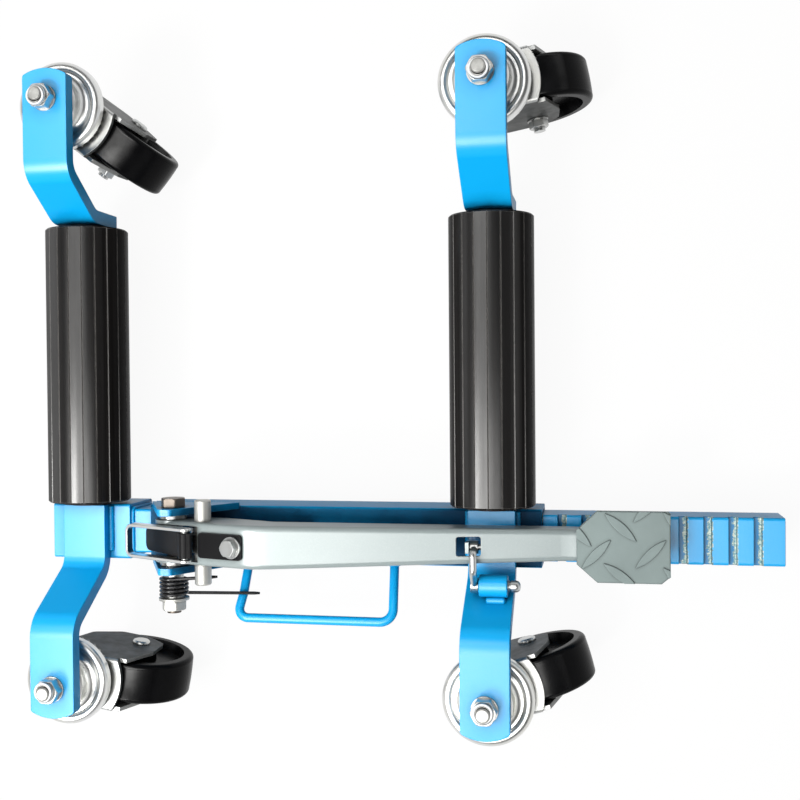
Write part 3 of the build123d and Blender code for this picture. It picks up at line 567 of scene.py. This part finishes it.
def makeForkZinc():
    look = forkLook
    material, tree, shader = newMaterial("forkZinc", {"Specular IOR Level": look["gloss"]})
    colour, grain = zincColour(tree, zincPlate)
    facing = addNode(tree, "ShaderNodeSeparateXYZ")
    tree.links.new(addNode(tree, "ShaderNodeTexCoord").outputs["Normal"], facing.inputs[0])
    # upright faces take a painted shade, mottled between two dark greys by a slow noise, and lose their metal
    upright = mathNode(tree, "SUBTRACT", 1.0, mathNode(tree, "ABSOLUTE", facing.outputs["Z"]))
    dull = rampValue(tree, upright, 0.0, look["shadeShare"], *look["uprightFrom"])
    cloud = rampValue(tree, noiseNode(tree, *look["cloudNoise"]), 0.0, 1.0, *look["cloudFrom"])
    side = blendColour(tree, cloud, look["dull"], look["worn"])
    tree.links.new(blendColour(tree, dull, colour, side), shader.inputs["Base Color"])
    tree.links.new(mathNode(tree, "SUBTRACT", 1.0, dull), shader.inputs["Metallic"])
    zincSurface(tree, shader, grain, look)
    return material


# turned steel, with fine rings round its length
steelLook = {"tone": (0.50, 0.49, 0.46), "dark": (0.22, 0.21, 0.19), "rough": (0.25, 0.5),
             "bump": (0.08, 0.0002),
             "turn": {"Along X": 60.0, "Along Y": 1200.0, "Along Z": 60.0, "Low": 0.35, "High": 0.7},
             "wearAndHighlight": {"Width": 0.0005, "Scale": 200.0, "Amount": 0.0}}


def makeSteel():
    look = steelLook
    material, tree, shader = newMaterial("turnedSteel", {"Metallic": 1.0})
    turn = groupMask(tree, "streaks", look["turn"])
    rounded = useGroup(tree, "edgeWearAndHighlight", look["wearAndHighlight"]).outputs["Normal"]
    tree.links.new(blendColour(tree, turn, look["tone"], look["dark"]), shader.inputs["Base Color"])
    tree.links.new(rampValue(tree, turn, *look["rough"]), shader.inputs["Roughness"])
    addBump(tree, shader, turn, look["bump"], rounded)
    return material


# satin greys: pins and the pivot nut, the browned head of the pivot bolt, the stems and the tread plate
satinLook = {"gloss": 0.4, "bump": (0.10, 0.0003), "grainScale": 1400.0, "edgeLift": 1.6, "paintedShadeShare": 0.18,
             "wearAndHighlight": {"Width": 0.0007, "Scale": 240.0, "Amount": 0.5},
             "cornerShade": {"Reach": 0.003, "Scale": 200.0, "Amount": 1.2},
             "satinPin": {"tone": (0.60, 0.60, 0.57), "shade": (0.44, 0.44, 0.42), "metal": 0.75,
                          "rough": (0.38, 0.52), "cloud": 40.0},
             "brownBolt": {"tone": (0.20, 0.17, 0.145), "shade": (0.09, 0.075, 0.065), "metal": 0.9,
                           "rough": (0.30, 0.48), "cloud": 40.0},
             "studGrey": {"tone": (0.56, 0.56, 0.54), "shade": (0.24, 0.24, 0.23), "metal": 0.9,
                          "rough": (0.34, 0.52), "cloud": 260.0},
             "padGrey": {"tone": (0.195, 0.245, 0.241), "shade": (0.154, 0.195, 0.193), "metal": 0.25,
                         "rough": (0.38, 0.50), "cloud": 40.0}}


def makeSatin(name):
    look = dict(satinLook, **satinLook[name])
    constants = {"Metallic": look["metal"], "Specular IOR Level": look["gloss"]}
    material, tree, shader = newMaterial(name, constants)
    grain = useGroup(tree, "coatGrain", {"Scale": look["grainScale"], "Cloud": look["cloud"]})
    wearAndHighlight = useGroup(tree, "edgeWearAndHighlight", look["wearAndHighlight"])
    pale = [min(1.0, look["edgeLift"] * part) for part in look["tone"]]
    # a darker copy of the shade tone, laid in the corners as painted shade
    paintedShade = [look["paintedShadeShare"] * part for part in look["shade"]]
    tone = blendColour(tree, grain.outputs["Tone"], look["tone"], look["shade"])
    worn = blendColour(tree, wearAndHighlight.outputs["Mask"], tone, pale)
    dark = blendColour(tree, groupMask(tree, "paintedCornerShade", look["cornerShade"]), worn, paintedShade)
    tree.links.new(dark, shader.inputs["Base Color"])
    tree.links.new(rampValue(tree, grain.outputs["Tone"], *look["rough"]), shader.inputs["Roughness"])
    addBump(tree, shader, grain.outputs["Height"], look["bump"], wearAndHighlight.outputs["Normal"])
    return material


# black steel: dull on the strips, oiled on the spring
blackLook = {"tone": (0.010, 0.010, 0.011), "rub": (0.10, 0.10, 0.10), "bump": (0.10, 0.0003),
             "grain": {"Scale": 900.0, "Cloud": 60.0},
             "wearAndHighlight": {"Width": 0.0008, "Scale": 400.0, "Amount": 0.8},
             "blackOxide": {"gloss": 0.10, "rough": (0.26, 0.42)},
             "springBlack": {"gloss": 0.60, "rough": (0.16, 0.26)}}


def makeBlackSteel(name):
    look = dict(blackLook, **blackLook[name])
    material, tree, shader = newMaterial(name, {"Specular IOR Level": look["gloss"]})
    grain = useGroup(tree, "coatGrain", look["grain"])
    wearAndHighlight = useGroup(tree, "edgeWearAndHighlight", look["wearAndHighlight"])
    rubbed = blendColour(tree, wearAndHighlight.outputs["Mask"], look["tone"], look["rub"])
    tree.links.new(rubbed, shader.inputs["Base Color"])
    tree.links.new(rampValue(tree, grain.outputs["Tone"], *look["rough"]), shader.inputs["Roughness"])
    addBump(tree, shader, grain.outputs["Height"], look["bump"], wearAndHighlight.outputs["Normal"])
    return material


# rollers: black skin drawn along its length, smeared and polished on top, with paler edge lines that are
# painted highlight, partly rubbed paint
rollerLook = {"tone": (0.004, 0.0037, 0.0037), "brown": (0.016, 0.0145, 0.014), "edge": (0.22, 0.21, 0.20),
              "rough": (0.20, 0.36), "bump": (0.10, 0.0003), "brownShare": 0.8, "shine": (0.66, 0.93),
              "coat": {"Specular IOR Level": 0.03, "Coat IOR": 1.75, "Coat Roughness": 0.24},
              "smearSheen": (1.0, 0.7), "drawnSheen": (1.08, 0.72),
              "drawn": {"Along X": 260.0, "Along Y": 2.5, "Along Z": 260.0, "Low": 0.30, "High": 0.72},
              "smear": {"Along X": 60.0, "Along Y": 14.0, "Along Z": 60.0, "Low": 0.30, "High": 0.75},
              "wearAndHighlight": {"Width": 0.0007, "Scale": 90.0, "Amount": 1.2}}


def makeRollerCoat():
    look = rollerLook
    material, tree, shader = newMaterial("rollerCoat", look["coat"])
    drawn = groupMask(tree, "streaks", look["drawn"])
    smear = groupMask(tree, "streaks", look["smear"])
    edge = groupMask(tree, "edgeWearAndHighlight", look["wearAndHighlight"])
    tone = blendColour(tree, rampValue(tree, drawn, 0.0, look["brownShare"]), look["tone"], look["brown"])
    # edges painted paler as highlight lines, partly rubbed paint
    tree.links.new(blendColour(tree, edge, tone, look["edge"]), shader.inputs["Base Color"])
    tree.links.new(rampValue(tree, smear, *look["rough"]), shader.inputs["Roughness"])
    addBump(tree, shader, drawn, look["bump"])
    polish = upwardMask(tree, *look["shine"])
    rubbed = mathNode(tree, "MULTIPLY", polish, rampValue(tree, smear, *look["smearSheen"]))
    streaked = mathNode(tree, "MULTIPLY", rubbed, rampValue(tree, drawn, *look["drawnSheen"]))
    tree.links.new(streaked, shader.inputs["Coat Weight"])
    return material


# wheels: moulded black plastic, scuffed by dust, glossy on top
wheelLook = {"tone": (0.003, 0.003, 0.0034), "scuff": (0.009, 0.009, 0.010), "rough": (0.18, 0.34),
             "bump": (0.08, 0.0003), "shine": (0.78, 0.97), "sheen": (0.3, 1.0), "sheenFrom": (0.35, 0.65),
             "coat": {"Specular IOR Level": 0.05, "Coat IOR": 1.75, "Coat Roughness": 0.26},
             "grain": {"Scale": 1300.0, "Cloud": 28.0}, "dust": {"Scale": 70.0, "Amount": 0.35}}


def makeWheelPlastic():
    look = wheelLook
    material, tree, shader = newMaterial("wheelPlastic", look["coat"])
    grain = useGroup(tree, "coatGrain", look["grain"])
    dust = groupMask(tree, "dustFilm", look["dust"])
    tree.links.new(blendColour(tree, dust, look["tone"], look["scuff"]), shader.inputs["Base Color"])
    tree.links.new(rampValue(tree, grain.outputs["Tone"], *look["rough"]), shader.inputs["Roughness"])
    addBump(tree, shader, grain.outputs["Height"], look["bump"])
    sheen = rampValue(tree, grain.outputs["Tone"], *look["sheen"], *look["sheenFrom"])
    polish = mathNode(tree, "MULTIPLY", upwardMask(tree, *look["shine"]), sheen)
    tree.links.new(polish, shader.inputs["Coat Weight"])
    return material


# white nylon of the locking rings
nylonLook = {"tone": (0.86, 0.87, 0.88), "shade": (0.74, 0.76, 0.79), "rough": 0.42, "bump": (0.1, 0.0003),
             "grain": {"Scale": 1500.0, "Cloud": 120.0}}


def makeNylonWhite():
    look = nylonLook
    material, tree, shader = newMaterial("nylonWhite", {"Roughness": look["rough"]})
    grain = useGroup(tree, "coatGrain", look["grain"])
    tone = blendColour(tree, grain.outputs["Tone"], look["tone"], look["shade"])
    tree.links.new(tone, shader.inputs["Base Color"])
    addBump(tree, shader, grain.outputs["Height"], look["bump"])
    return material


finish = {"blue": makeBlue("bluePowderCoat"),
          "tubeBlue": makeBlue("tubePowderCoat"),
          "cheekBlue": makeBlue("cheekPowderCoat"),
          "rackBlue": makeRackBlue(),
          "lever": makeLeverGrey(),
          "zinc": makeZinc("zincPlate", zincPlate),
          "race": makeZinc("raceZinc", raceZinc),
          "fork": makeForkZinc(),
          "steel": makeSteel(),
          "black": makeBlackSteel("blackOxide"),
          "springBlack": makeBlackSteel("springBlack"),
          "roller": makeRollerCoat(),
          "wheel": makeWheelPlastic(),
          "nylon": makeNylonWhite(),
          "satin": makeSatin("satinPin"),
          "brown": makeSatin("brownBolt"),
          "pad": makeSatin("padGrey"),
          "stud": makeSatin("studGrey")}
print("materials ready:", len(finish))

# which finish each node of the frame wears: by the slot it is in, or its own
slotFinish = {"frame_blue": "blue", "pedal_grey": "lever", "bare_steel": "steel", "zinc": "zinc",
              "black_steel": "black", "roller_black": "roller", "nylon": "wheel", "wheel_black": "wheel"}
ownFinish = {"rack_bar": "rackBlue", "outer_tube": "tubeBlue", "pivot_cheeks": "cheekBlue",
             "left_roller_washers": "black", "right_roller_washers": "black",
             "left_kingpins": "stud", "right_kingpins": "stud",
             "left_caster_races": "race", "right_caster_races": "race", "release_bail": "race",
             "cross_pin": "satin", "pivot_nut": "satin", "pivot_bolt": "brown", "pedal_pad": "pad"}


def dressFrame():
    for part in frame["record"]["subparts"]:
        name = part["node"]
        usual = "fork" if name.endswith("_fork") else slotFinish[part["material_slot"]]
        mesh = nodes[name].data
        mesh.materials.clear()
        mesh.materials.append(finish[ownFinish.get(name, usual)])


dressFrame()
print("frame nodes dressed")


# sheared and sawn edges of the plates and bars, eased a little
easing = {"width": 0.0006, "steps": 2, "turn": 38.0, "weld": 1e-6, "flat": 0.3, "mostCorners": 4,
          "nodes": ["outer_tube", "rack_bar", "left_end_block", "pivot_cheeks", "leaf_strip",
                    "release_treadle", "release_bail", "left_upper_arm", "left_lower_arm",
                    "right_upper_arm", "right_lower_arm"]}


def easeEdges():
    for name in easing["nodes"]:
        part = nodes[name]
        joined = part.modifiers.new("joinSeams", "WELD")
        joined.merge_threshold = easing["weld"]
        flat = part.modifiers.new("flatFaces", "DECIMATE")
        flat.decimate_type = "DISSOLVE"
        flat.angle_limit = math.radians(easing["flat"])
        ease = part.modifiers.new("easedEdges", "BEVEL")
        ease.width = easing["width"]
        ease.segments = easing["steps"]
        ease.limit_method = "ANGLE"
        ease.angle_limit = math.radians(easing["turn"])
        ease.use_clamp_overlap = True
        ease.miter_outer = "MITER_ARC"
        cut = part.modifiers.new("evenFaces", "TRIANGULATE")
        cut.min_vertices = easing["mostCorners"] + 1
        part.modifiers.new("flatShading", "WEIGHTED_NORMAL")


easeEdges()
print("edges eased:", len(easing["nodes"]))


# working places: millimetres from the beam's axis and the drawing's zero beside the right-hand stems
stemOffset = 0.0015
drawingX = stemX + stemOffset
samePlace = 1e-7  # points closer than this are one


def spot(x, y, z):
    return Vector((drawingX + x / 1000, beamY + y / 1000, z / 1000))


def meshPiece(name, vertices, faces, material, slotName):
    mesh = bpy.data.meshes.new(name)
    mesh.from_pydata([tuple(v) for v in vertices], [], faces)
    mesh.validate()
    mesh.materials.append(finish[material])
    for face in mesh.polygons:
        face.use_smooth = True
    piece = bpy.data.objects.new(name, mesh)
    scene.collection.objects.link(piece)
    return piece


def addTube(vertices, faces, path, radii, sides):
    # a round skin along the path, kept from twisting; a path that ends where it starts has no ends
    closed = (path[0] - path[-1]).length < samePlace
    points = path[:-1] if closed else path
    count = len(points)
    side = None
    base = len(vertices)
    for step, point in enumerate(points):
        ahead = points[(step + 1) % count] if closed or step + 1 < count else point
        behind = points[step - 1] if closed or step > 0 else point
        way = (ahead - behind).normalized()
        if side is None:
            side = way.orthogonal().normalized()
        side = (side - way * side.dot(way)).normalized()
        up = way.cross(side)
        for corner in range(sides):
            angle = 2 * math.pi * corner / sides
            vertices.append(point + (side * math.cos(angle) + up * math.sin(angle)) * radii[step])
    addSkin(faces, base, count, sides, closed)
    if not closed:
        faces.append(tuple(base + corner for corner in reversed(range(sides))))
        faces.append(tuple(base + (count - 1) * sides + corner for corner in range(sides)))


# return spring: a close coil on the pivot, one leg under the cross pin and one on the handle
springLook = {"wire": 1.45, "coil": 11.25, "pitch": 3.4, "firstY": -32.9, "turns": 4, "shortLeg": 8.5,
              "longTip": -208.0, "pinRadius": 7.0, "pinGap": 0.3, "handleRadius": 4.0, "handleGap": 3.0,
              "handleRest": (-222.9, 76.0), "tip": 0.72, "blendFrom": 13.0, "blendTo": 1.0,
              "steps": 56, "shortSteps": 8, "longSteps": 16, "sides": 14}


def makeSpring():
    look = springLook
    hub = (pivot - spot(0, 0, 0)) * 1000
    pin = (middle("cross_pin") - spot(0, 0, 0)) * 1000
    pinAway = math.hypot(pin.x - hub.x, pin.z - hub.z)
    pinAngle = math.atan2(pin.z - hub.z, pin.x - hub.x)
    reach = look["coil"] + look["pinRadius"] + look["wire"] + look["pinGap"]
    first = pinAngle - math.asin(reach / pinAway) + math.pi / 2
    restX, restZ = look["handleRest"]
    restZ += look["handleRadius"] + look["wire"] + look["handleGap"]
    restAngle = math.atan2(restZ - hub.z, restX - hub.x)
    restAway = math.hypot(restX - hub.x, restZ - hub.z)
    last = restAngle + math.asin(look["coil"] / restAway) - math.pi / 2 + 2 * math.pi * (look["turns"] + 1)
    rise = -look["pitch"] / (2 * math.pi)

    def onCoil(angle):
        return Vector((hub.x + look["coil"] * math.cos(angle), look["firstY"] + rise * (angle - first),
                       hub.z + look["coil"] * math.sin(angle)))

    def along(angle):
        return Vector((-look["coil"] * math.sin(angle), rise, look["coil"] * math.cos(angle))).normalized()

    count = int((last - first) / (2 * math.pi) * look["steps"])
    coil = [onCoil(first + (last - first) * step / count) for step in range(count + 1)]
    shortRun = (pin.x + look["shortLeg"] - coil[0].x) / abs(along(first).x)
    longRun = (look["longTip"] - coil[-1].x) / abs(along(last).x)
    shortSteps, longSteps = look["shortSteps"], look["longSteps"]
    start = [coil[0] - along(first) * shortRun * (1 - step / shortSteps) for step in range(shortSteps)]
    end = [coil[-1] + along(last) * longRun * (step + 1) / longSteps for step in range(longSteps)]
    path = [spot(*point) for point in start + coil + end]
    radii = [look["wire"] / 1000] * len(path)
    radii[0] = radii[-1] = look["wire"] * look["tip"] / 1000
    vertices, faces = [], []
    addTube(vertices, faces, path, radii, look["sides"])
    spring = meshPiece("springCoil", vertices, faces, "springBlack", "black_steel")
    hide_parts("return_spring")
    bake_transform(spring)


makeSpring()
print("return spring wound")


# weld beads: rippled ropes of metal under the same paint, laid in the corners where parts meet
weldLook = {"ripple": 2.6, "depth": 0.15, "smooth": 0.03, "stray": 0.1, "step": 0.5,
            "taper": (0.35, 0.75, 0.92), "sides": 14, "seed": 5,
            "foot": {"aside": 21.0, "run": (-18.0, 24.0), "above": 0.6, "radius": 2.7},
            "cheek": {"aside": 26.1, "run": (-308.0, -232.0), "z": 71.7, "radius": 2.1},
            "handle": {"legs": (-222.6, -89.3), "y": -25.6, "z": 62.9, "round": 4.7, "tall": 1.12,
                       "count": 40, "radius": 1.7},
            "barrel": {"run": (-3.5, 12.5), "lines": ((-45.2, 113.6), (-36.2, 100.4)), "radius": 3.1},
            "block": {"x": -332.2, "z": 48.0, "half": 20.4, "flat": 18.0, "radius": 1.9},
            "pad": {"aside": 14.0, "run": (74.0, 123.0), "z": 105.9, "radius": 2.0}}


def densePath(corners, step):
    path = []
    for a, b in zip(corners, corners[1:]):
        count = max(1, int((b - a).length / step))
        path += [a.lerp(b, index / count) for index in range(count)]
    return path + [corners[-1]]


def addBead(vertices, faces, corners, radius, depth, chance):
    path = densePath([spot(*corner) for corner in corners], weldLook["step"] / 1000)
    stray = weldLook["stray"]
    run = 0.0
    radii = []
    for index, point in enumerate(path):
        run += (point - path[index - 1]).length if index else 0.0
        wave = abs(math.sin(math.pi * run * 1000 / weldLook["ripple"]))
        radii.append(radius / 1000 * (1 - depth / 2 + depth * wave + chance.uniform(-stray, stray) * depth))
    if (path[0] - path[-1]).length > samePlace:
        for index, share in enumerate(weldLook["taper"]):
            radii[index] *= share
            radii[-1 - index] *= share
    addTube(vertices, faces, path, radii, weldLook["sides"])


# the lines that the beads follow, each with its radius and the depth of its ripple
def footLines(x):
    foot = weldLook["foot"]
    centre = (x - drawingX) * 1000
    z = beamTop * 1000 + foot["above"]
    return [([(centre + aside, y, z) for y in foot["run"]], foot["radius"], weldLook["depth"])
            for aside in (-foot["aside"], foot["aside"])]


def straightLines(name, sides):
    look = weldLook[name]
    return [([(x, side * look["aside"], look["z"]) for x in look["run"]], look["radius"], weldLook["depth"])
            for side in sides]


def handleLines():
    look = weldLook["handle"]
    angles = [2 * math.pi * corner / look["count"] for corner in range(look["count"])] + [0.0]
    return [([(leg + look["round"] * math.cos(angle), look["y"],
               look["z"] + look["round"] * look["tall"] * math.sin(angle)) for angle in angles],
             look["radius"], weldLook["depth"]) for leg in look["legs"]]


def barrelLines():
    # the widest beads, laid almost without a ripple
    look = weldLook["barrel"]
    return [([(x, y, z) for x in look["run"]], look["radius"], weldLook["smooth"]) for y, z in look["lines"]]


def blockLine():
    look = weldLook["block"]
    half, flat = look["half"], look["flat"]
    ring = [(-half, -flat), (-half, flat), (-flat, half), (flat, half), (half, flat), (half, -flat),
            (flat, -half), (-flat, -half), (-half, -flat)]
    return [([(look["x"], y, look["z"] + z) for y, z in ring], look["radius"], weldLook["depth"])]


def makeWelds():
    chance = random.Random(weldLook["seed"])
    frameLines = footLines(stemX) + straightLines("cheek", (1, -1)) + handleLines() + barrelLines()
    rackLines = footLines(leftStemX) + blockLine()
    padLines = straightLines("pad", (-1, 1))
    for name, body, material, slotName, lines in (("frameWelds", "frame", "blue", "frame_blue", frameLines),
                                                  ("rackWelds", "rack", "blue", "frame_blue", rackLines),
                                                  ("padWelds", "pedal", "lever", "pedal_grey", padLines)):
        vertices, faces = [], []
        for corners, radius, depth in lines:
            addBead(vertices, faces, corners, radius, depth, chance)
        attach(meshPiece(name, vertices, faces, material, slotName), body)


makeWelds()
print("welds laid")


# caster stems: white locking ring in each nut, threads on the bolt end, and the row of balls under each race
stemLook = {"ringInner": 6.25, "ringOuter": 8.0, "ringLow": 161.2, "ringHigh": 162.7, "ringSoft": 0.35,
            "ringSides": 48,
            "threadRadius": 5.75, "threadRidge": 0.55, "threadPitch": 1.5, "threadFrom": 160.2,
            "threadRun": 2.6, "threadTip": 0.3, "threadSteps": 40, "threadSides": 6,
            "ballRow": 34.9, "balls": 34, "ball": 1.85, "ballZ": 111.3, "ballDetail": 2}


def addRing(vertices, faces, centre):
    look = stemLook
    inner, outer, low, high = look["ringInner"], look["ringOuter"], look["ringLow"], look["ringHigh"]
    soft, sides = look["ringSoft"], look["ringSides"]
    profile = [(inner, low), (outer, low), (outer, high - soft), (outer - soft, high), (inner + soft, high),
               (inner, high - soft)]
    base = len(vertices)
    for radius, z in profile:
        for corner in range(sides):
            angle = 2 * math.pi * corner / sides
            vertices.append(centre + Vector((radius * math.cos(angle), radius * math.sin(angle), z)) / 1000)
    addSkin(faces, base, len(profile), sides, True)


def addThread(vertices, faces, centre):
    # a sharp ridge wound round the bolt end
    look = stemLook
    length, pitch = look["threadRun"], look["threadPitch"]
    foot = centre + Vector((0, 0, look["threadFrom"])) / 1000
    axis = Vector((0, 0, 1))
    side = axis.orthogonal().normalized()
    up = axis.cross(side)
    steps = int(length / pitch * look["threadSteps"])
    path = []
    for step in range(steps + 1):
        angle = 2 * math.pi * length / pitch * step / steps
        reach = (side * math.cos(angle) + up * math.sin(angle)) * look["threadRadius"]
        path.append(foot + (reach + axis * length * step / steps) / 1000)
    radii = [look["threadRidge"] / 1000] * len(path)
    radii[0] = radii[-1] = look["threadRidge"] * look["threadTip"] / 1000
    addTube(vertices, faces, path, radii, look["threadSides"])


def addBalls(vertices, faces, centre):
    look = stemLook
    ball = bmesh.new()
    bmesh.ops.create_icosphere(ball, subdivisions=look["ballDetail"], radius=look["ball"] / 1000)
    for index in range(look["balls"]):
        angle = 2 * math.pi * index / look["balls"]
        row = look["ballRow"]
        place = centre + Vector((row * math.cos(angle), row * math.sin(angle), look["ballZ"])) / 1000
        base = len(vertices)
        vertices.extend(place + corner.co for corner in ball.verts)
        faces.extend(tuple(base + corner.index for corner in face.verts) for face in ball.faces)
    ball.free()


def makeStemDetail():
    for side, x, body in (("left", leftStemX, "rack"), ("right", stemX, "frame")):
        rings, threads, balls = ([], []), ([], []), ([], [])
        for y in (nearStemY, farStemY):
            centre = Vector((x, y, 0))
            addRing(*rings, centre)
            addThread(*threads, centre)
            addBalls(*balls, centre)
        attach(meshPiece(side + "LockRings", *rings, "nylon", "nylon"), body)
        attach(meshPiece(side + "StemThreads", *threads, "stud", "zinc"), body)
        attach(meshPiece(side + "RaceBalls", *balls, "steel", "bare_steel"), body)


makeStemDetail()
print("stem detail ready")

scene.view_settings.view_transform = "Standard"
print("scene ready")
